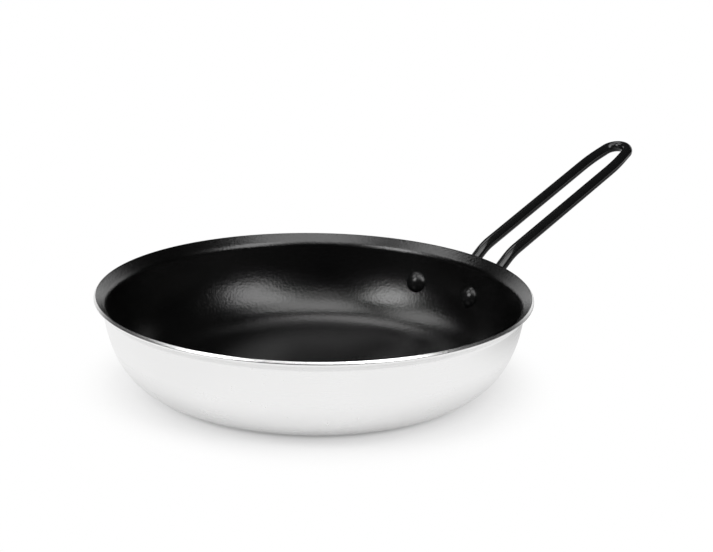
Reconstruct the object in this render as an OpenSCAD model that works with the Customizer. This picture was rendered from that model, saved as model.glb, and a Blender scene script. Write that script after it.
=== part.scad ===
// Omelette pan: a pressed shell with a flared lip, a black lining and a riveted hairpin handle.
// The origin is the centre of the flat underside, +Z is up and the handle points along +X.

/* [Pan body] */
// Overall width across the lip
rim_d = 240; // [200:1:300]
// Height of the lip's top edge above the table
pan_h = 51.9; // [46:0.1:75]
// Width of the flat underside
base_d = 156; // [120:1:190]
// Thickness of the pressed sheet
sheet_t = 2; // [1.2:0.1:3.5]
// How far the wall still leans outwards at its top, in degrees
wall_lean = 6; // [2:0.5:14]
// Fullness of the lower corner, as a share of the wall's sideways run
corner_fullness = 0.44; // [0.3:0.01:0.6]
// Fullness of the upper wall, as a share of the wall's height
wall_fullness = 0.76; // [0.5:0.01:0.85]

/* [Lip] */
// Slope of the flared lip above level, in degrees
lip_angle = 44; // [30:1:60]
// Length of the flared strip beyond its bend
lip_w = 5.6; // [3:0.1:8]
// Outside radius of the bend between wall and lip
lip_bend_r = 4; // [2:0.1:8]
// Radius that eases the ground edge below the lip
edge_r = 0.5; // [0.2:0.1:0.8]

/* [Lining] */
// Thickness of the non-stick coat
coat_t = 0.25; // [0.15:0.05:0.5]

/* [Rivets] */
// Distance between the two rivets, centre to centre on the inner wall
rivet_pitch = 42; // [36:0.5:56]
// Height of the rivets above the table
rivet_z = 28.3; // [24:0.1:32]
// Diameter of the rivet's shank
shank_d = 6; // [4:0.1:7]
// Radial play between shank and hole
rivet_play = 0.05; // [0.03:0.01:0.15]
// Diameter of the domed head inside the pan
head_d = 12.8; // [10:0.1:15]
// Height of the domed head
head_h = 4; // [2.5:0.1:5.5]
// Height of the straight edge below the dome
head_edge = 0.6; // [0.3:0.1:1.2]
// Diameter of the formed head on the plate
tail_d = 9.6; // [8.5:0.1:10.5]
// Height of the formed head
tail_h = 2.4; // [1.5:0.1:3.5]

/* [Handle plate] */
// Width of the plate round the wall
plate_w = 66; // [58:0.5:80]
// Height of the plate
plate_h = 22; // [16:0.5:26]
// Thickness of the plate
plate_t = 2.5; // [1.5:0.1:4]

/* [Handle rod] */
// Diameter of the rod
rod_d = 7; // [5:0.1:9]
// Distance between the two runs, centre to centre
rod_gap = 21.2; // [16:0.1:24]
// Level run from the wall to the first bend
exit_run = 21.5; // [14:0.1:30]
// Radius of the first bend, upwards
crank_r = 14; // [9:0.5:24]
// Slope of the steep stretch, in degrees
crank_angle = 36; // [28:0.5:45]
// Length of the steep stretch
crank_run = 17.8; // [8:0.1:30]
// Radius of the second bend, back towards the grip's slope
neck_r = 38; // [12:1:60]
// Slope of the grip, in degrees
grip_angle = 20.5; // [10:0.1:26]
// Length of the straight grip, up to where its two runs close in
grip_run = 101.3; // [70:0.1:160]
// Radius of the soft bends that turn the runs towards each other
closing_r = 120; // [40:5:140]
// How far each run turns in, in degrees
closing_angle = 9; // [4:0.5:10]
// Length of the closing stretch, up to the round end
closing_run = 5.4; // [2:0.1:12]
// How much thinner the rod gets where it is bent
bend_thinning = 0.04; // [0.02:0.01:0.2]
// Thickness of the weld bead round each rod end
bead_r = 1.5; // [0.8:0.1:2]

/* [Hidden] */

$fn = 96;
bead_fn = 32;
wall_steps = 26;
lip_steps = 8;
edge_steps = 4;
// How far cutting solids reach past what they cut
trim = 8;
// How far a straight stretch runs over a bend
bend_lap = 0.2;
// How far a rivet's head is drawn into the wall before the wall is cut away from it
head_root = 1;
// How far outside the rod the middle of its weld bead lies
bead_offset = bead_r / 3;
// Radius of the round end that is left between the closing runs
end_r = (rod_gap / 2 - closing_r * (1 - cos(closing_angle)) - closing_run * sin(closing_angle))
      / cos(closing_angle);

wall_angle = 90 - wall_lean;
wall_t = sheet_t + coat_t;

// Where the wall ends and the lip's bend begins, worked back from the lip's edge
top_r = rim_d / 2 - lip_bend_r * (sin(wall_angle) - sin(lip_angle)) - lip_w * cos(lip_angle)
      - edge_r * (1 - sin(lip_angle) - cos(lip_angle));
top_z = pan_h - lip_bend_r * (cos(lip_angle) - cos(wall_angle))
      - lip_w * sin(lip_angle) - wall_t * cos(lip_angle);

// Corner points of the curve that the outer wall follows, from the underside up
foot = [base_d / 2, 0];
head = [top_r, top_z];
foot_pull = foot + [corner_fullness * (top_r - base_d / 2), 0];
head_pull = head - wall_fullness * top_z * [cos(wall_angle), sin(wall_angle)];

function wall_at(t) =
    pow(1 - t, 3) * foot + 3 * pow(1 - t, 2) * t * foot_pull
    + 3 * (1 - t) * t * t * head_pull + pow(t, 3) * head;

function wall_run(t) =
    pow(1 - t, 2) * (foot_pull - foot) + 2 * (1 - t) * t * (head_pull - foot_pull)
    + t * t * (head - head_pull);

// Slope of the wall above level
function wall_slope(t) = atan2(wall_run(t).y, wall_run(t).x);

// Direction out of the wall at a slope
function out_of(slope) = [sin(slope), -cos(slope)];

// Point on the wall, moved outwards by a distance
function wall_point(t, out) = wall_at(t) + out * out_of(wall_slope(t));

// Place along the wall at a height, found by halving
function wall_t_at(z, low = 0, high = 1, steps = 30) =
    steps == 0 ? (low + high) / 2
    : wall_at((low + high) / 2).y < z
        ? wall_t_at(z, (low + high) / 2, high, steps - 1)
        : wall_t_at(z, low, (low + high) / 2, steps - 1);

function wall_line(out) = [for (i = [0 : wall_steps]) wall_point(i / wall_steps, out)];

bend_centre = head + lip_bend_r * out_of(wall_angle);

function bend_point(slope, out) = bend_centre - (lip_bend_r - out) * out_of(slope);

function bend_line(out) =
    [for (i = [1 : lip_steps]) bend_point(wall_angle + (lip_angle - wall_angle) * i / lip_steps, out)];

function lip_end(out) = bend_point(lip_angle, out) + lip_w * [cos(lip_angle), sin(lip_angle)];

// The whole outline at one depth of the sheet, from the centre of the underside to the lip's edge
function skin(out, last) = concat([[0, -out]], wall_line(out), bend_line(out), last);

function backwards(list) = [for (i = [len(list) - 1 : -1 : 0]) list[i]];

// The eased corner below the ground edge
edge_centre = lip_end(-edge_r) - edge_r * [cos(lip_angle), sin(lip_angle)];
eased_edge = [for (i = [0 : edge_steps]) edge_centre + edge_r * out_of(lip_angle + 90 * i / edge_steps)];

// Where the rivets and the rods meet the wall
seat_t = wall_t_at(rivet_z);
seat_slope = wall_slope(seat_t);
seat = wall_at(seat_t);
rivet_turn = asin(rivet_pitch / 2 / wall_point(seat_t, -wall_t).x);
plate_seat = wall_point(seat_t, plate_t);
rod_turn = asin(rod_gap / 2 / plate_seat.x);
plate_end_y = plate_w / 2 - plate_h / 2;

// A ring of wall between two distances from the outer face, without the lip
module wall_band(from_out, to_out) {
    rotate_extrude()
        polygon(concat(wall_line(to_out), backwards(wall_line(from_out))));
}

// Puts its children on the wall with +Z pointing straight out of it
module on_wall(turn, out = 0) {
    place = wall_point(seat_t, out);
    rotate([0, 0, turn])
        translate([place.x, 0, place.y])
            rotate([0, 180 - seat_slope, 0])
                children();
}

module rivet_holes() {
    for (side = [-1, 1])
        on_wall(side * rivet_turn, -wall_t - trim)
            cylinder(d = shank_d + 2 * rivet_play, h = wall_t + plate_t + 2 * trim);
}

module pan_body() {
    color("gainsboro")
        difference() {
            rotate_extrude()
                polygon(concat(skin(0, eased_edge), backwards(skin(-sheet_t, [lip_end(-sheet_t)]))));
            rivet_holes();
        }
}

module nonstick_lining() {
    color([0.12, 0.12, 0.12])
        difference() {
            rotate_extrude()
                polygon(concat(skin(-sheet_t, [lip_end(-sheet_t)]), backwards(skin(-wall_t, [lip_end(-wall_t)]))));
            rivet_holes();
        }
}

module plate_outline() {
    square([2 * plate_end_y, plate_h], center = true);
    for (side = [-1, 1])
        translate([side * plate_end_y, 0])
            circle(d = plate_h);
}

module handle_bracket() {
    color([0.08, 0.08, 0.08])
        difference() {
            intersection() {
                wall_band(0, plate_t);
                translate([0, 0, rivet_z])
                    rotate([90, 0, 90])
                        linear_extrude(rim_d)
                            plate_outline();
            }
            rivet_holes();
        }
}

// The two runs are drawn side by side. Each stretch starts at the frame's origin, heads along +X
// and hands a frame at its own end to its children.
module both_runs() {
    for (side = [-1, 1])
        translate([0, side * rod_gap / 2, 0])
            children();
}

// Straight stretches run a little way over the thinner bends.
module straight(run) {
    both_runs()
        translate([-bend_lap, 0, 0])
            rotate([0, 90, 0])
                cylinder(d = rod_d, h = run + 2 * bend_lap);
    translate([run, 0, 0])
        children();
}

// Bends upwards by a positive turn and downwards by a negative one
module bend(radius, turn) {
    up = sign(turn);
    translate([0, 0, up * radius]) {
        both_runs()
            rotate([90, 0, 0])
                rotate([0, 0, up > 0 ? -90 : 90 + turn])
                    rotate_extrude(angle = abs(turn))
                        translate([radius, 0])
                            circle(d = rod_d - bend_thinning);
        rotate([0, -turn, 0])
            translate([0, 0, -up * radius])
                children();
    }
}

// The two runs turn in a little, and a round end joins them in the grip's own plane.
module closing_end() {
    for (side = [0, 1])
        mirror([0, side, 0])
            translate([0, rod_gap / 2 - closing_r, 0])
                rotate([0, 0, 90 - closing_angle]) {
                    rotate_extrude(angle = closing_angle)
                        translate([closing_r, 0])
                            circle(d = rod_d - bend_thinning);
                    translate([closing_r, bend_lap, 0])
                        rotate([90, 0, 0])
                            cylinder(d = rod_d, h = closing_run + 2 * bend_lap);
                }
    translate([(closing_r - end_r) * sin(closing_angle) + closing_run * cos(closing_angle), 0, 0])
        rotate([0, 0, closing_angle - 90])
            rotate_extrude(angle = 180 - 2 * closing_angle)
                translate([end_r, 0])
                    circle(d = rod_d - bend_thinning);
}

module weld_bead() {
    rotate_extrude()
        translate([rod_d / 2 + bead_offset, 0])
            circle(r = bead_r, $fn = bead_fn);
}

module handle_loop() {
    color([0.08, 0.08, 0.08])
        difference() {
            union() {
                translate([seat.x, 0, rivet_z])
                    straight(exit_run)
                        bend(crank_r, crank_angle)
                            straight(crank_run)
                                bend(neck_r, grip_angle - crank_angle)
                                    straight(grip_run)
                                        closing_end();
                for (side = [-1, 1])
                    on_wall(side * rod_turn, plate_t)
                        weld_bead();
            }
            wall_band(-trim, plate_t);
        }
}

// A low dome on a short straight edge, standing on the plane Z = 0 and reaching below it
module domed_head(width, height, edge, below) {
    cap_h = height - edge;
    cap_r = (width * width / 4 + cap_h * cap_h) / (2 * cap_h);
    translate([0, 0, -below])
        cylinder(d = width, h = below + edge);
    intersection() {
        translate([0, 0, edge + cap_h - cap_r])
            sphere(r = cap_r);
        translate([0, 0, edge])
            cylinder(d = width, h = height);
    }
}

module rivet(turn) {
    difference() {
        on_wall(turn, -wall_t)
            rotate([180, 0, 0])
                domed_head(head_d, head_h, head_edge, head_root);
        wall_band(-wall_t, trim);
    }
    on_wall(turn, -wall_t - head_edge)
        cylinder(d = shank_d, h = wall_t + plate_t + 2 * head_edge);
    difference() {
        on_wall(turn, plate_t)
            domed_head(tail_d, tail_h, head_edge, head_root);
        wall_band(-trim, plate_t);
    }
}

module rivets() {
    color([0.1, 0.1, 0.1])
        for (side = [-1, 1])
            rivet(side * rivet_turn);
}

pan_body();
nonstick_lining();
handle_bracket();
handle_loop();
rivets();
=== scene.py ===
import math

import bmesh
import bpy
import numpy as np
from mathutils import Matrix, Vector


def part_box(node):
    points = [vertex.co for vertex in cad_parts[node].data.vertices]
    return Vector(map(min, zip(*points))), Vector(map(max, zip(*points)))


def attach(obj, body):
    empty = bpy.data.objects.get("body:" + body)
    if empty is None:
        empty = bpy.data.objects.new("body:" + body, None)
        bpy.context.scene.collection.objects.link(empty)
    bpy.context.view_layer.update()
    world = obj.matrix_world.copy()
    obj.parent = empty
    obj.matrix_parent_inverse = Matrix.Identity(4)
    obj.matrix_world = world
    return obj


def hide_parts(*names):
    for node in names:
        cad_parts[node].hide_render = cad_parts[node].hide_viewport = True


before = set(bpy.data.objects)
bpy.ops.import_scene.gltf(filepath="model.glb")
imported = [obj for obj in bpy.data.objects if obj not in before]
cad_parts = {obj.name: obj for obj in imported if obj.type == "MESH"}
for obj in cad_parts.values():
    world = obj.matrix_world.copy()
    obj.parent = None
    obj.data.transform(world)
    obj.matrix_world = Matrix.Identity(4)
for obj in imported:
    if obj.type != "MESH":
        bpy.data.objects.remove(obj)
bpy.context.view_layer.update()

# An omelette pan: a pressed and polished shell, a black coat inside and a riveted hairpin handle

mm = 0.001
samePoint = 0.001 * mm          # points closer than this are one
wallSamples = 800               # places at which the wall's curve is looked up
print("frame loaded:", ", ".join(sorted(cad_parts)))


# Outline of the wall and the lip, as pairs of radius and height

shell = {
    "rimRadius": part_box("pan_body")[1].y,
    "height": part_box("nonstick_lining")[1].z,
    "baseRadius": 78 * mm,
    "sheet": 2 * mm,
    "coat": 0.25 * mm,
    "topSlope": 84,             # degrees above level, where the wall ends
    "cornerFullness": 0.44,     # share of the wall's sideways run
    "wallFullness": 0.76,       # share of the wall's height
    "lipSlope": 44,
    "lipWidth": 5.6 * mm,
    "lipBendRadius": 4 * mm,
    "edgeRadius": 0.9 * mm,
    "coatEdgeRadius": 0.18 * mm,
    "segments": 256,
    "floorSteps": 14,
    "wallSteps": 64,
    "bendSteps": 14,
    "lipSteps": 4,
    "edgeSteps": 6,
}
coated = shell["sheet"] + shell["coat"]


def heading(slope):
    return np.array([math.cos(math.radians(slope)), math.sin(math.radians(slope))])


def outOf(slope):               # square to the sheet, away from the food
    return heading(slope - 90)


def wallCorners():              # the corner points of the wall's curve
    lip, bend = shell["lipWidth"], shell["lipBendRadius"]
    lipWay, lipOut = heading(shell["lipSlope"]), outOf(shell["lipSlope"])
    topOut = outOf(shell["topSlope"])
    easing = shell["edgeRadius"] * (1 - lipOut[0] - lipWay[0])
    head = np.array([shell["rimRadius"] - easing, shell["height"] + coated * lipOut[1]])
    head -= bend * (topOut - lipOut) + lip * lipWay
    foot = np.array([shell["baseRadius"], 0.0])
    footPull = foot + [shell["cornerFullness"] * (head[0] - foot[0]), 0]
    headPull = head - shell["wallFullness"] * head[1] * heading(shell["topSlope"])
    return foot, footPull, headPull, head


foot, footPull, headPull, head = wallCorners()
bendCentre = head + shell["lipBendRadius"] * outOf(shell["topSlope"])


def wallSlope(t):
    low, middle, high = footPull - foot, headPull - footPull, head - headPull
    run = (1 - t) ** 2 * low + 2 * (1 - t) * t * middle + t * t * high
    return math.degrees(math.atan2(run[1], run[0]))


def wallPoint(t, out):
    low = (1 - t) ** 3 * foot + 3 * (1 - t) ** 2 * t * footPull
    high = 3 * (1 - t) * t * t * headPull + t ** 3 * head
    return low + high + out * outOf(wallSlope(t))


def lipPoint(run, out):
    lipOut = outOf(shell["lipSlope"])
    return bendCentre - (shell["lipBendRadius"] - out) * lipOut + run * heading(shell["lipSlope"])


def arc(centre, radius, fromSlope, toSlope, steps):
    return [centre + radius * outOf(slope) for slope in np.linspace(fromSlope, toSlope, steps + 1)]


def skin(out, lipRun):          # from the middle of the floor to the lip, at one depth of the sheet
    radii = np.linspace(0, foot[0], shell["floorSteps"] + 1)[:-1]
    points = [np.array([radius, -out]) for radius in radii]
    points += [wallPoint(t, out) for t in np.linspace(0, 1, shell["wallSteps"] + 1)]
    bend = shell["lipBendRadius"] - out
    points += arc(bendCentre, -bend, shell["topSlope"], shell["lipSlope"], shell["bendSteps"])[1:]
    points += [lipPoint(run, out) for run in np.linspace(0, lipRun, shell["lipSteps"] + 1)[1:]]
    return points


def shellOutline():
    edge, lip, slope = shell["edgeRadius"], shell["lipWidth"], shell["lipSlope"]
    outer = skin(0, lip - edge)[:-1]
    eased = arc(lipPoint(lip - edge, -edge), edge, slope, slope + 90, shell["edgeSteps"])
    return outer + eased + skin(-shell["sheet"], lip)[::-1]


def coatOutline():
    edge, lip, slope = shell["coatEdgeRadius"], shell["lipWidth"], shell["lipSlope"]
    corner = lipPoint(lip - edge, edge - coated)
    eased = arc(corner, edge, slope + 90, slope + 180, shell["edgeSteps"])
    return skin(-shell["sheet"], lip) + eased + skin(-coated, lip - edge)[-2::-1]


wallTables = {}


def wallRadius(height, out):    # radius of the wall at a height, for a skin moved outwards
    if out not in wallTables:
        wallTables[out] = np.array([wallPoint(t, out) for t in np.linspace(0, 1, wallSamples)]).T
    radii, heights = wallTables[out]
    return np.interp(height, heights, radii)


def onWall(y, z, out):          # x of the wall there, on the handle's side
    return np.sqrt(wallRadius(z, out) ** 2 - y ** 2)


# Turning outlines and rings into meshes

def makePiece(name, vertices, faces, material):
    mesh = bpy.data.meshes.new(name)
    mesh.from_pydata([tuple(v) for v in vertices], [], faces)
    work = bmesh.new()
    work.from_mesh(mesh)
    bmesh.ops.remove_doubles(work, verts=work.verts, dist=samePoint)
    bmesh.ops.recalc_face_normals(work, faces=work.faces)
    work.to_mesh(mesh)
    work.free()
    piece = bpy.data.objects.new(name, mesh)
    bpy.context.scene.collection.objects.link(piece)
    mesh.materials.append(material)
    return piece


def smooth(piece, sharpest=38):     # smooth shading, broken at corners over so many degrees
    piece.data.shade_smooth()
    piece.data.set_sharp_from_angle(angle=math.radians(sharpest))


def bridge(rings):              # faces between closed rings of equally many points, with both ends shut
    count = len(rings[0])
    vertices = np.concatenate(rings)
    faces = []
    for ring in range(len(rings) - 1):
        low, high = ring * count, (ring + 1) * count
        for here in range(count):
            after = (here + 1) % count
            faces.append((low + here, low + after, high + after, high + here))
    faces.append(tuple(range(count))[::-1])
    faces.append(tuple(range(len(vertices) - count, len(vertices))))
    return vertices, faces


def lathe(outline, segments):   # outline runs from the axis to the axis
    turns = np.linspace(0, 2 * math.pi, segments, endpoint=False)
    across = np.stack([np.cos(turns), np.sin(turns), np.zeros(segments)], axis=1)
    up = np.array([0, 0, 1])
    vertices, faces = bridge([radius * across + height * up for radius, height in outline[1:-1]])
    vertices = np.concatenate([vertices, [[0, 0, outline[0][1]], [0, 0, outline[-1][1]]]])
    first, last = len(vertices) - 2, len(vertices) - 1
    topRing = len(vertices) - 2 - segments
    faces = faces[:-2]
    for here in range(segments):
        after = (here + 1) % segments
        faces.append((first, after, here))
        faces.append((last, topRing + here, topRing + after))
    return vertices, faces


# Node work

class Wire:                     # a socket that can stand in a sum
    def __init__(self, finish, socket):
        self.finish = finish
        self.socket = socket

    def also(self, name):       # another output of the same node
        return Wire(self.finish, self.socket.node.outputs[name])

    def maths(self, operation, first, second):
        return self.finish.add("ShaderNodeMath", {"operation": operation}, {0: first, 1: second})

    def __add__(self, other):
        return self.maths("ADD", self, other)

    def __radd__(self, other):
        return self.maths("ADD", other, self)

    def __sub__(self, other):
        return self.maths("SUBTRACT", self, other)

    def __rsub__(self, other):
        return self.maths("SUBTRACT", other, self)

    def __mul__(self, other):
        return self.maths("MULTIPLY", self, other)

    def __rmul__(self, other):
        return self.maths("MULTIPLY", other, self)


class Finish:                   # the nodes of one material or of the world
    def __init__(self, owner):
        owner.use_nodes = True
        self.owner = owner
        self.tree = owner.node_tree
        self.tree.nodes.clear()

    def add(self, kind, settings=None, inputs=None):
        node = self.tree.nodes.new(kind)
        for key, value in (settings or {}).items():
            setattr(node, key, value)
        for key, value in (inputs or {}).items():
            if isinstance(value, Wire):
                self.tree.links.new(value.socket, node.inputs[key])
            else:
                node.inputs[key].default_value = value
        return Wire(self, node.outputs[0]) if len(node.outputs) else None

    def place(self):            # where a point is, in metres
        return self.add("ShaderNodeTexCoord").also("Object")

    def along(self, way, axis):     # cosine between two directions
        node = self.add("ShaderNodeVectorMath", {"operation": "DOT_PRODUCT"}, {0: way, 1: axis})
        return node.also("Value")

    def noise(self, place, size, detail, kind="3D"):
        inputs = {"Vector": place, "Scale": 1 / size, "Detail": detail}
        return self.add("ShaderNodeTexNoise", {"noise_dimensions": kind}, inputs)

    def step(self, value, low, high):     # 0 below low, 1 above high, soft between
        inputs = {"Value": value, "From Min": low, "From Max": high}
        return self.add("ShaderNodeMapRange", {"interpolation_type": "SMOOTHSTEP"}, inputs)

    def blend(self, mask, first, second):     # from one colour to another
        node = self.add("ShaderNodeMix", {"data_type": "RGBA"}, {0: mask, 6: first, 7: second})
        return node.also(2)

    def bump(self, height, depth, under=None):      # under is the bump that this one adds to
        inputs = {"Height": height, "Distance": depth}
        if under is not None:
            inputs["Normal"] = under
        return self.add("ShaderNodeBump", {}, inputs)

    def shader(self, inputs):
        return self.add("ShaderNodeBsdfPrincipled", {}, inputs)

    def show(self, surface, kind="ShaderNodeOutputMaterial"):
        self.add(kind, {}, {"Surface": surface})
        return self.owner


def grey(level, tint=0.0):      # tint above 0 leans to blue
    return (level, level * (1 + tint / 2), level * (1 + tint), 1)


# The finishes

polish = {
    "colour": grey(0.88, -0.004),
    "dullColour": grey(0.85, -0.004),
    "roughness": 0.19,
    "ringRoughness": 0.06,      # what the polishing rings add
    "bandRoughness": 0.02,      # what their wider bands add
    "hazeRoughness": 0.06,
    "scuffRoughness": 0.02,
    "grooveRoughness": 0.06,    # what the underside adds
    "ringPitch": 0.4 * mm,
    "ringDepth": 0.0015 * mm,
    "bandWidth": 12,            # in rings
    "bandEdge": (0.3, 0.7),
    "hazeSize": 26 * mm,
    "scuffSize": 5.2 * mm,
    "scuffEdge": (0.62, 0.75),
    "undersideEdge": (0.2 * mm, -0.1 * mm),     # heights over which the underside's finish comes on
    "grooveEdge": (74 * mm, 73 * mm),           # and the radii, for its turned middle
    "groovePitch": 1.3 * mm,
    "grooveDepth": 0.03 * mm,
    "stretch": 0.35,            # how far the rings stretch a highlight
}


def polishedMetal():
    finish = Finish(bpy.data.materials.new("polishedMetal"))
    place = finish.place()
    flat = finish.add("ShaderNodeVectorMath", {"operation": "MULTIPLY"}, {0: place, 1: (1, 1, 0)})
    radius = finish.add("ShaderNodeVectorMath", {"operation": "LENGTH"}, {0: flat}).also("Value")
    height = finish.add("ShaderNodeSeparateXYZ", {}, {"Vector": place}).also("Z")
    ringPlace = finish.add("ShaderNodeCombineXYZ", {}, {"X": radius, "Y": height})
    rings = finish.noise(ringPlace, polish["ringPitch"], 3, "2D")
    bands = finish.noise(ringPlace, polish["bandWidth"] * polish["ringPitch"], 1, "2D")
    bands = finish.step(bands, *polish["bandEdge"])
    haze = finish.noise(place, polish["hazeSize"], 3)
    scuffs = finish.step(finish.noise(place, polish["scuffSize"], 4), *polish["scuffEdge"])
    underneath = finish.step(height, *polish["undersideEdge"]) * finish.step(radius, *polish["grooveEdge"])
    turn = radius * (2 * math.pi / polish["groovePitch"])
    grooves = finish.add("ShaderNodeMath", {"operation": "SINE"}, {0: turn})
    roughness = polish["roughness"] + polish["ringRoughness"] * rings + polish["hazeRoughness"] * haze
    roughness = roughness + polish["bandRoughness"] * bands + polish["scuffRoughness"] * scuffs
    roughness = roughness + polish["grooveRoughness"] * underneath
    colour = finish.blend(haze, polish["dullColour"], polish["colour"])
    normal = finish.bump(rings, polish["ringDepth"])
    normal = finish.bump(grooves * underneath, polish["grooveDepth"], normal)
    surface = finish.shader({
        "Base Color": colour,
        "Metallic": 1.0,
        "Roughness": roughness,
        "Anisotropic": polish["stretch"],
        "Normal": normal,
    })
    return finish.show(surface)


coat = {
    "colour": grey(0.0008, 0.05),
    "fleckColour": grey(0.005, 0.03),
    "fleckSize": 0.55 * mm,
    "fleckEdge": (0.66, 0.74),
    "roughness": 0.23,
    "grainRoughness": 0.10,
    "sprayRoughness": 0.08,
    "spraySize": 30 * mm,       # of the sprayed coat's wide unevenness
    "grainSize": 1.35 * mm,
    "grainDepth": 0.13 * mm,
    "poreSize": 0.3 * mm,
    "poreDepth": 0.012 * mm,
    "shine": 0.75,
}


def nonstickCoat():
    finish = Finish(bpy.data.materials.new("nonstickCoat"))
    place = finish.place()
    grain = finish.noise(place, coat["grainSize"], 2)
    pores = finish.noise(place, coat["poreSize"], 2)
    spray = finish.noise(place, coat["spraySize"], 3)
    flecks = finish.step(finish.noise(place, coat["fleckSize"], 2), *coat["fleckEdge"])
    roughness = coat["roughness"] + coat["grainRoughness"] * (grain - 0.5)
    roughness = roughness + coat["sprayRoughness"] * (spray - 0.5)
    colour = finish.blend(flecks, coat["colour"], coat["fleckColour"])
    normal = finish.bump(grain, coat["grainDepth"])
    normal = finish.bump(pores, coat["poreDepth"], normal)
    surface = finish.shader({
        "Base Color": colour,
        "Roughness": roughness,
        "Specular IOR Level": coat["shine"],
        "Normal": normal,
    })
    return finish.show(surface)


enamel = {
    "colour": grey(0.005, 0.04),
    "palerColour": grey(0.007, 0.03),
    "roughness": 0.24,
    "patchRoughness": 0.10,
    "grainRoughness": 0.06,
    "patchSize": 14 * mm,
    "rippleSize": 3.5 * mm,
    "rippleDepth": 0.004 * mm,
    "grainSize": 0.35 * mm,
    "grainDepth": 0.002 * mm,
    "shine": 0.16,
    "clear": 0.7,
    "clearRoughness": 0.06,
}


def blackEnamel():
    finish = Finish(bpy.data.materials.new("blackEnamel"))
    place = finish.place()
    ripple = finish.noise(place, enamel["rippleSize"], 2)
    grain = finish.noise(place, enamel["grainSize"], 3)
    patches = finish.noise(place, enamel["patchSize"], 3)
    roughness = enamel["roughness"] + enamel["patchRoughness"] * (patches - 0.5)
    roughness = roughness + enamel["grainRoughness"] * (grain - 0.5)
    colour = finish.blend(patches, enamel["colour"], enamel["palerColour"])
    normal = finish.bump(ripple, enamel["rippleDepth"])
    normal = finish.bump(grain, enamel["grainDepth"], normal)
    surface = finish.shader({
        "Base Color": colour,
        "Roughness": roughness,
        "Specular IOR Level": enamel["shine"],
        "Coat Weight": enamel["clear"],
        "Coat Roughness": enamel["clearRoughness"],
        "Normal": normal,
    })
    return finish.show(surface)


rivetPaint = {
    "colour": grey(0.005, 0.02),
    "palerColour": grey(0.008, 0.02),
    "roughness": 0.24,
    "dentRoughness": 0.12,
    "grainRoughness": 0.08,
    "dentSize": 2.2 * mm,
    "dentDepth": 0.03 * mm,
    "grainSize": 0.5 * mm,
    "grainDepth": 0.008 * mm,
}


def rivetBlack():
    finish = Finish(bpy.data.materials.new("rivetBlack"))
    place = finish.place()
    dents = finish.noise(place, rivetPaint["dentSize"], 2)
    grain = finish.noise(place, rivetPaint["grainSize"], 3)
    roughness = rivetPaint["roughness"] + rivetPaint["dentRoughness"] * (dents - 0.5)
    roughness = roughness + rivetPaint["grainRoughness"] * (grain - 0.5)
    colour = finish.blend(dents, rivetPaint["colour"], rivetPaint["palerColour"])
    normal = finish.bump(dents, rivetPaint["dentDepth"])
    normal = finish.bump(grain, rivetPaint["grainDepth"], normal)
    surface = finish.shader({
        "Base Color": colour,
        "Roughness": roughness,
        "Normal": normal,
    })
    return finish.show(surface)


metalFinish = polishedMetal()
coatFinish = nonstickCoat()
enamelFinish = blackEnamel()
rivetFinish = rivetBlack()
print("finishes made")


# The rivets' places

rivet = {
    "pitch": 42 * mm,           # centre to centre on the coat
    "height": 28.3 * mm,
    "shankRadius": 3 * mm,
    "play": 0.05 * mm,
    "headRadius": 6.4 * mm,
    "headHeight": 4 * mm,
    "tailRadius": 4.8 * mm,
    "tailHeight": 2.4 * mm,
    "brim": 0.6 * mm,           # straight edge below each dome
    "brimRound": 0.4 * mm,
    "seating": 0.03 * mm,       # how far a head beds into what it sits on
    "seatRounds": 12,           # rounds of moving a head's edge onto the wall
    "segments": 72,
    "domeSteps": 14,
    "crownShare": 0.02,         # of the dome, left flat at its crown
    "brimSteps": 4,
    "drillReach": 8 * mm,       # to each side of the wall
    "drillSegments": 64,
}
plate = {
    "width": 66 * mm,
    "height": 22 * mm,
    "thickness": 2.5 * mm,
    "edgeRadius": 0.8 * mm,
    "backGap": 0.03 * mm,       # lifts the back off the wall, whose facets would cut it
    "backChamfer": 0.15 * mm,
    "faceSteps": 8,
    "edgeSteps": 7,
    "endSteps": 28,
    "sideSteps": 30,
}


def findSeat():                 # place along the wall at the rivets' height
    places = np.linspace(0, 1, wallSamples)
    heights = [wallPoint(t, 0)[1] for t in places]
    return float(np.interp(rivet["height"], heights, places))


seatPlace = findSeat()
seatSlope = wallSlope(seatPlace)
seatRadius, seatHeight = wallPoint(seatPlace, 0)
rivetTurn = math.asin(rivet["pitch"] / 2 / wallPoint(seatPlace, -coated)[0])


def rivetFrame(side):           # origin on the outside of the wall, then out of it, round it and up it
    turn = side * rivetTurn
    radial = np.array([math.cos(turn), math.sin(turn), 0])
    around = np.array([-math.sin(turn), math.cos(turn), 0])
    outRun, outRise = outOf(seatSlope)
    out = outRun * radial + np.array([0, 0, outRise])
    return seatRadius * radial + [0, 0, seatHeight], out, around, np.cross(out, around)


def drillHoles(piece):
    drills = []
    for side in (-1, 1):
        origin, out, around, up = rivetFrame(side)
        turns = np.linspace(0, 2 * math.pi, rivet["drillSegments"], endpoint=False)[:, None]
        ring = (rivet["shankRadius"] + rivet["play"]) * (np.cos(turns) * around + np.sin(turns) * up)
        reach = rivet["drillReach"] * out
        vertices, faces = bridge([origin + ring - reach, origin + ring + reach])
        drills.append(makePiece("drill", vertices, faces, metalFinish))
    for drill in drills:
        cut = piece.modifiers.new("hole", "BOOLEAN")
        cut.operation = "DIFFERENCE"
        cut.solver = "EXACT"
        cut.object = drill
    settled = piece.evaluated_get(bpy.context.evaluated_depsgraph_get())
    drilled = bpy.data.meshes.new_from_object(settled)
    piece.modifiers.clear()
    piece.data = drilled
    while len(drilled.materials) > 1:
        drilled.materials.pop()
    for drill in drills:
        bpy.data.objects.remove(drill)


# The pressed shell and its coat

def buildShell():
    vertices, faces = lathe(shellOutline(), shell["segments"])
    piece = makePiece("pan_shell", vertices, faces, metalFinish)
    drillHoles(piece)
    smooth(piece)
    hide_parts("pan_body")
    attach(piece, "root")


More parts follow.
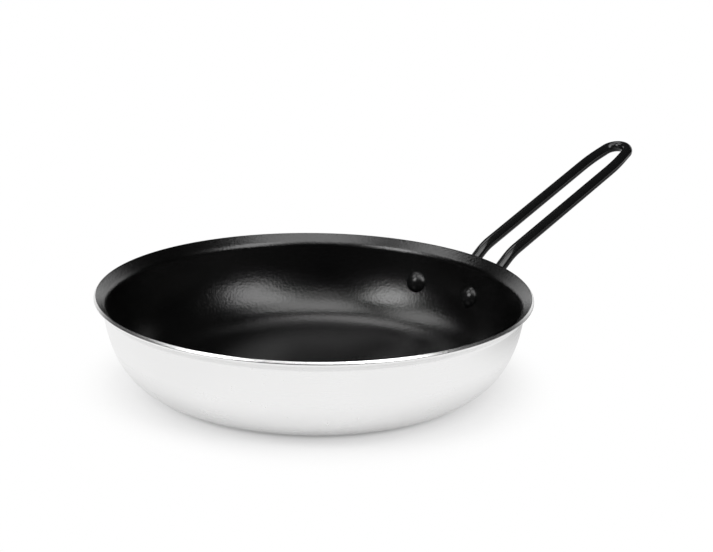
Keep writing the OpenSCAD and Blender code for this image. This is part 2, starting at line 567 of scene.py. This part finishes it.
def buildCoat():
    vertices, faces = lathe(coatOutline(), shell["segments"])
    piece = makePiece("nonstick_coat", vertices, faces, coatFinish)
    drillHoles(piece)
    smooth(piece)
    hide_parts("nonstick_lining")
    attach(piece, "root")


buildShell()
buildCoat()
print("shell and coat built")


# The curved plate that carries the rod

def plateRing(inset, out):      # one loop round the plate, drawn in from its edge and laid on the wall
    half = plate["width"] / 2 - plate["height"] / 2
    radius = plate["height"] / 2 - inset
    rise = math.pi * np.arange(plate["endSteps"]) / plate["endSteps"]
    run = half * np.linspace(-1, 1, plate["sideSteps"], endpoint=False)
    y = np.concatenate([half + radius * np.sin(rise), -run, -half - radius * np.sin(rise), run])
    z = radius * np.concatenate([-np.cos(rise), np.ones(len(run)), np.cos(rise), -np.ones(len(run))])
    z = z + rivet["height"]
    return np.stack([onWall(y, z, out), y, z], axis=1)


def buildPlate():
    thick, edge, half = plate["thickness"], plate["edgeRadius"], plate["height"] / 2
    insets = np.linspace(half, edge, plate["faceSteps"])
    rings = [plateRing(inset, plate["backGap"]) for inset in insets]
    rings.append(plateRing(plate["backChamfer"], plate["backGap"]))
    rings.append(plateRing(0, plate["backGap"] + plate["backChamfer"]))
    for turn in np.linspace(0, math.pi / 2, plate["edgeSteps"]):
        rings.append(plateRing(edge * (1 - math.cos(turn)), thick - edge * (1 - math.sin(turn))))
    rings += [plateRing(inset, thick) for inset in insets[::-1][1:]]
    vertices, faces = bridge(rings)
    piece = makePiece("handle_plate", vertices, faces[:-2], enamelFinish)
    drillHoles(piece)
    smooth(piece)
    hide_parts("handle_bracket")
    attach(piece, "root")


buildPlate()
print("plate built")


# The rod: out of the plate, up behind the rim, along the grip, round the loop and back

rod = {
    "radius": 3.5 * mm,
    "gap": 21.2 * mm,           # between the two runs, centre to centre
    "exitRun": 21.5 * mm,
    "crankRadius": 14 * mm,
    "crankSlope": 36,
    "crankRun": 17.8 * mm,
    "neckRadius": 38 * mm,
    "gripSlope": 20.5,
    "gripRun": 101.05 * mm,
    "closingRadius": 120 * mm,  # the runs turn towards each other before the round end
    "closingTurn": 9,
    "closingRun": 5.4 * mm,
    "beadRadius": 1.5 * mm,
    "beadOffset": 0.5 * mm,     # of the bead's middle from the rod
    "beadRipples": 17,
    "beadRipple": 0.07,         # share of the bead's size
    "beadSink": 4,              # degrees that its first ring dips under the plate's face
    "beadSteps": 9,
    "beadReach": 2.4,           # where the plain rod begins, in bead sizes off the plate
    "segments": 56,
    "straightStep": 4 * mm,
    "bendStep": 2,              # degrees
    "closingSteps": 6,
    "endSteps": 40,
    "sharpest": 48,             # degrees that still shade as smooth, for the rippled beads
}


def rodStations():              # centre and slope along one run, in the upright plane through it
    x, z, slope = seatRadius, rivet["height"], 0.0
    stations = []

    def straight(run):
        nonlocal x, z
        way = heading(slope)
        steps = max(1, round(run / rod["straightStep"]))
        for step in range(steps + 1):
            at = run * step / steps
            stations.append((x + at * way[0], z + at * way[1], slope))
        x, z = x + run * way[0], z + run * way[1]

    def bend(radius, toSlope):
        nonlocal x, z, slope
        side = 1 if toSlope > slope else -1
        centre = np.array([x, z]) - side * radius * outOf(slope)
        steps = max(2, round(abs(toSlope - slope) / rod["bendStep"]))
        for turn in np.linspace(slope, toSlope, steps + 1)[1:-1]:
            at = centre + side * radius * outOf(turn)
            stations.append((at[0], at[1], turn))
        x, z = centre + side * radius * outOf(toSlope)
        slope = toSlope

    straight(rod["exitRun"])
    bend(rod["crankRadius"], rod["crankSlope"])
    straight(rod["crankRun"])
    bend(rod["neckRadius"], rod["gripSlope"])
    straight(rod["gripRun"])
    return stations


def closingRun(tip, way, up):   # a soft turn towards the other run, then a short straight
    sideways = np.array([0, 1.0, 0])
    frames = []
    for turn in np.linspace(0, rod["closingTurn"], rod["closingSteps"] + 1)[1:]:
        c, s = heading(turn)
        at = tip + rod["closingRadius"] * ((c - 1) * sideways + s * way)
        frames.append((at, c * way - s * sideways, up))
    corner, onward, _ = frames[-1]
    frames.append((corner + rod["closingRun"] / 2 * onward, onward, up))
    frames.append((corner + rod["closingRun"] * onward, onward, up))
    return frames


def roundEnd(start, up):        # the arc that is left between the two closing runs
    sideways = np.array([0, 1.0, 0])
    way = np.cross(sideways, up)
    c, s = heading(rod["closingTurn"])
    radius = start[1] / c
    centre = start - radius * (c * sideways + s * way)
    frames = []
    for turn in np.linspace(rod["closingTurn"], 180 - rod["closingTurn"], rod["endSteps"] + 1)[1:-1]:
        c, s = heading(turn)
        frames.append((centre + radius * (c * sideways + s * way), c * way - s * sideways, up))
    return frames


def rodFrames():                # the whole rod, from one end at the plate to the other
    half = rod["gap"] / 2
    run = []
    for x, z, slope in rodStations():
        way, up = heading(slope), -outOf(slope)
        run.append((np.array([x, half, z]), np.array([way[0], 0, way[1]]), np.array([up[0], 0, up[1]])))
    there = [frameAt for frameAt in run if frameAt[0][0] > clearOfBead]
    there += closingRun(*there[-1])
    mirror = np.array([1, -1, 1])
    back = [(at * mirror, -forward, upward) for at, forward, upward in there[::-1]]
    start, _, up = there[-1]
    return there + roundEnd(start, up) + back


def rodRing(at, way, up):
    turns = np.linspace(0, 2 * math.pi, rod["segments"], endpoint=False)[:, None]
    return at + rod["radius"] * (np.cos(turns) * np.cross(way, up) + np.sin(turns) * up)


def beadRings(side, way):       # from the plate's face up the bead and onto the rod
    up = np.array([0, 0, 1.0])
    across = np.cross(way, up)
    turns = np.linspace(0, 2 * math.pi, rod["segments"], endpoint=False)
    ripple = 1 + rod["beadRipple"] * np.sin(rod["beadRipples"] * turns)
    rings = []
    toe = math.degrees(math.acos(-rod["beadOffset"] / rod["beadRadius"]))
    for lift in [-rod["beadSink"], *np.linspace(rod["beadSink"], toe, rod["beadSteps"])]:
        c, s = heading(lift)
        radius = rod["radius"] + rod["beadOffset"] + rod["beadRadius"] * c * ripple
        radius = np.maximum(radius, rod["radius"])
        y = side * rod["gap"] / 2 + radius * np.cos(turns) * across[1]
        z = rivet["height"] + radius * np.sin(turns)
        x = onWall(y, z, plate["thickness"]) + rod["beadRadius"] * s * ripple
        rings.append(np.stack([x, y, z], axis=1))
    return rings


clearOfBead = onWall(0, rivet["height"], plate["thickness"]) + rod["beadReach"] * rod["beadRadius"]


def buildRod():
    rings = beadRings(1, np.array([1.0, 0, 0]))
    rings += [rodRing(at, way, up) for at, way, up in rodFrames()]
    rings += beadRings(-1, np.array([-1.0, 0, 0]))[::-1]
    vertices, faces = bridge(rings)
    piece = makePiece("handle_rod", vertices, faces, enamelFinish)
    smooth(piece, rod["sharpest"])
    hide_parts("handle_loop")
    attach(piece, "root")


buildRod()
print("rod built")


# The two rivets, each with a domed head inside, a shank and a formed head on the plate

def domeRings(radius, height):  # from the crown to the foot of the straight brim, as radius and height
    rise = height - rivet["brim"]
    ball = (radius ** 2 + rise ** 2) / (2 * rise)
    shoulder = radius - rivet["brimRound"]
    spread = math.asin(shoulder / ball)
    points = []
    for share in np.linspace(rivet["crownShare"], 1, rivet["domeSteps"]):
        turn = share * spread
        points.append((ball * math.sin(turn), height - ball * (1 - math.cos(turn))))
    start, corner, end = points[-1], (radius, rivet["brim"]), (radius, rivet["brim"] / 3)
    for t in np.linspace(0, 1, rivet["brimSteps"] + 1)[1:]:
        weights = ((1 - t) ** 2, 2 * t * (1 - t), t * t)
        points.append(tuple(np.dot(weights, (start, corner, end))))
    return points


def buildRivet(name, side):
    origin, out, around, up = rivetFrame(side)
    turns = np.linspace(0, 2 * math.pi, rivet["segments"], endpoint=False)[:, None]
    spokes = np.cos(turns) * around + np.sin(turns) * up

    def freeRing(radius, reach):
        return origin + radius * spokes + reach * out

    def seatedRing(radius, skinOut):    # pushed along the shank until it lies on a skin of the wall
        ring = freeRing(radius, skinOut)
        for _ in range(rivet["seatRounds"]):
            miss = np.hypot(ring[:, 0], ring[:, 1]) - wallRadius(ring[:, 2], skinOut)
            ring = ring - math.sin(math.radians(seatSlope)) * miss[:, None] * out
        return ring

    inner, outer, bed = -coated, plate["thickness"], rivet["seating"]
    dome = domeRings(rivet["headRadius"], rivet["headHeight"])
    rings = [freeRing(r, inner - h) for r, h in dome]
    rings += [seatedRing(rivet["headRadius"], inner) + bed * out]
    rings += [seatedRing(rivet["shankRadius"], inner) + bed * out]
    rings += [seatedRing(rivet["shankRadius"], outer) - bed * out]
    rings += [seatedRing(rivet["tailRadius"], outer) - bed * out]
    tail = domeRings(rivet["tailRadius"], rivet["tailHeight"])
    rings += [freeRing(r, outer + h) for r, h in tail[::-1]]
    vertices, faces = bridge(rings)
    piece = makePiece(name, vertices, faces, rivetFinish)
    smooth(piece)
    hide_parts("rivets")
    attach(piece, "root")


buildRivet("rivet_right", -1)
buildRivet("rivet_left", 1)
print("rivets built")


# Camera

camera = {
    "azimuth": -46.2,
    "elevation": 16.5,
    "roll": 1.133,
    "place": (-553.56 * mm, -562.44 * mm, 293.13 * mm),
    "lens": 75.74,
    "sensor": 36,
    "nearest": 0.01,
    "farthest": 50,
}


def wayAt(azimuth, elevation):  # azimuth 0 is towards -Y and turns towards +X
    c, s = heading(elevation)
    across, along = math.sin(math.radians(azimuth)), -math.cos(math.radians(azimuth))
    return Vector((across * c, along * c, s))


def setCamera():
    back = wayAt(camera["azimuth"], camera["elevation"])
    right = Vector((0, 0, 1)).cross(back).normalized()
    up = back.cross(right)
    c, s = heading(camera["roll"])
    axes = Matrix((c * right + s * up, c * up - s * right, back)).transposed()
    data = bpy.data.cameras.new("camera")
    data.sensor_width = camera["sensor"]
    data.lens = camera["lens"]
    data.clip_start = camera["nearest"]
    data.clip_end = camera["farthest"]
    seat = bpy.data.objects.new("camera", data)
    seat.matrix_world = Matrix.Translation(camera["place"]) @ axes.to_4x4()
    bpy.context.scene.collection.objects.link(seat)
    bpy.context.scene.camera = seat


setCamera()
print("camera set")


# Studio: soft boxes above the pan, a pale floor and a white backdrop

lamps = {                       # turn from the camera, elevation, distance, width, height, watts
    "rightBox": (47, 46, 1.3, 0.6, 0.85, 5.9),
    "leftBox": (-57, 40, 1.3, 0.48, 0.6, 5.1),
    "topBox": (4, 79, 1.3, 0.88, 0.66, 4.7),
    "backBox": (-162, 63, 1.3, 0.5, 0.5, 1.65),
    "sideBox": (-103, 52, 1.3, 0.55, 0.55, 2.3),
    "bridgeBox": (6, 55, 1.3, 0.8, 0.4, 0.9),
}
studio = {
    "middle": (0.03, 0, 0.03),
    "fill": 0.15,               # light from all round
    "dim": 0.015,               # the dark part of the studio, as a mirror shows it
    "white": 1.0,
    "floorGrey": 0.92,
    "floorRadius": 3.0,
    "floorSides": 128,
    "floorDrop": 0.05 * mm,
    "contact": (80 * mm, 92 * mm),      # radii between which painted white starts to lighten the pan's shadow
    # how much painted white lightens the shadow between those radii
    "paintedShadowLight": 0.45,
    "mirroredPaintedLight": 0.5,               # how much of that painted white the metal mirrors
    "shadow": (85 * mm, 137 * mm),      # radii between which more painted white fades the shadow out to plain white
    "paintedDarkUnderHandle": (420 * mm, -150 * mm, 0),    # middle of a painted dark patch on the floor, under the handle, that only reflections show
    "paintedDarkReach": (380 * mm, 150 * mm),         # distances from there between which the painted dark patch fades out
    "paintedDarkWhite": 0.2,                          # what is left of the floor's white in the painted dark patch
    "backdropSides": (0.55, 0.85),      # cosines of the turn from straight ahead
    "backdropTop": (0.5, 0.3),          # sines of the elevation
    "darkElevation": 32,                # middle of the dark cap over the backdrop
    "darkEdge": (0.955, 0.876),         # cosines of the turn from there
}


def setLamps():
    middle = Vector(studio["middle"])
    for name, (turn, elevation, distance, width, height, watts) in lamps.items():
        data = bpy.data.lights.new(name, "AREA")
        data.shape = "RECTANGLE"
        data.size, data.size_y = width, height
        data.energy = watts
        back = wayAt(camera["azimuth"] + turn, elevation)
        lamp = bpy.data.objects.new(name, data)
        lamp.location = middle + distance * back
        lamp.rotation_euler = back.to_track_quat("Z", "Y").to_euler()
        bpy.context.scene.collection.objects.link(lamp)


def setWorld():
    world = bpy.data.worlds.new("studio")
    bpy.context.scene.world = world
    finish = Finish(world)
    way = finish.add("ShaderNodeTexCoord").also("Generated")
    ahead = finish.along(way, wayAt(camera["azimuth"] + 180, 0))
    height = finish.add("ShaderNodeSeparateXYZ", {}, {"Vector": way}).also("Z")
    over = finish.along(way, wayAt(camera["azimuth"] + 180, studio["darkElevation"]))
    backdrop = finish.step(ahead, *studio["backdropSides"]) * finish.step(height, *studio["backdropTop"])
    backdrop = backdrop * finish.step(over, *studio["darkEdge"])
    mirrored = studio["dim"] + (studio["white"] - studio["dim"]) * backdrop
    path = finish.add("ShaderNodeLightPath")
    level = studio["white"] * path.also("Is Camera Ray") + mirrored * path.also("Is Glossy Ray")
    level = level + studio["fill"] * path.also("Is Diffuse Ray")
    sky = finish.add("ShaderNodeBackground", {}, {"Color": grey(1), "Strength": level})
    finish.show(sky, "ShaderNodeOutputWorld")


def setFloor():
    mesh = bpy.data.meshes.new("floor")
    radius, sides = studio["floorRadius"], studio["floorSides"]
    turns = np.linspace(0, 2 * math.pi, sides, endpoint=False)
    ring = [(radius * math.cos(turn), radius * math.sin(turn), 0) for turn in turns]
    mesh.from_pydata(ring, [], [tuple(range(sides))])
    floor = bpy.data.objects.new("floor", mesh)
    floor.location.z = -studio["floorDrop"]
    bpy.context.scene.collection.objects.link(floor)
    finish = Finish(bpy.data.materials.new("paleFloor"))
    place = finish.place()
    distance = finish.add("ShaderNodeVectorMath", {"operation": "LENGTH"}, {0: place}).also("Value")
    # Painted shade: a dark patch in the floor's white under the handle, seen only in reflections
    ends = {0: place, 1: studio["paintedDarkUnderHandle"]}
    beside = finish.add("ShaderNodeVectorMath", {"operation": "DISTANCE"}, ends).also("Value")
    dark = finish.step(beside, *studio["paintedDarkReach"])
    path = finish.add("ShaderNodeLightPath")
    direct, mirrored = path.also("Is Camera Ray"), path.also("Is Glossy Ray")
    # Painted light: the floor glows white away from the pan and partly inside its shadow, which lightens
    # and then paints out the shadow, for the camera and in reflections
    far = finish.step(distance, *studio["shadow"])
    paintedShadowLift = studio["paintedShadowLight"] * finish.step(distance, *studio["contact"])
    seen = direct + mirrored + path.also("Is Transmission Ray")
    lift = far * seen + (1 - far) * paintedShadowLift * (direct + studio["mirroredPaintedLight"] * mirrored)
    matt = finish.add("ShaderNodeBsdfDiffuse", {}, {"Color": grey(studio["floorGrey"])})
    white = finish.add("ShaderNodeEmission", {}, {"Color": grey(1), "Strength": studio["white"]})
    paintedDarkGlow = finish.add("ShaderNodeEmission", {}, {"Color": grey(1), "Strength": studio["paintedDarkWhite"]})
    # the painted dark patch, for glossy rays only
    white = finish.add("ShaderNodeMixShader", {}, {0: dark * mirrored, 1: white, 2: paintedDarkGlow})
    surface = finish.add("ShaderNodeMixShader", {}, {0: lift, 1: matt, 2: white})
    mesh.materials.append(finish.show(surface))


setLamps()
setWorld()
setFloor()
bpy.context.scene.view_settings.view_transform = "Standard"
print("studio set")
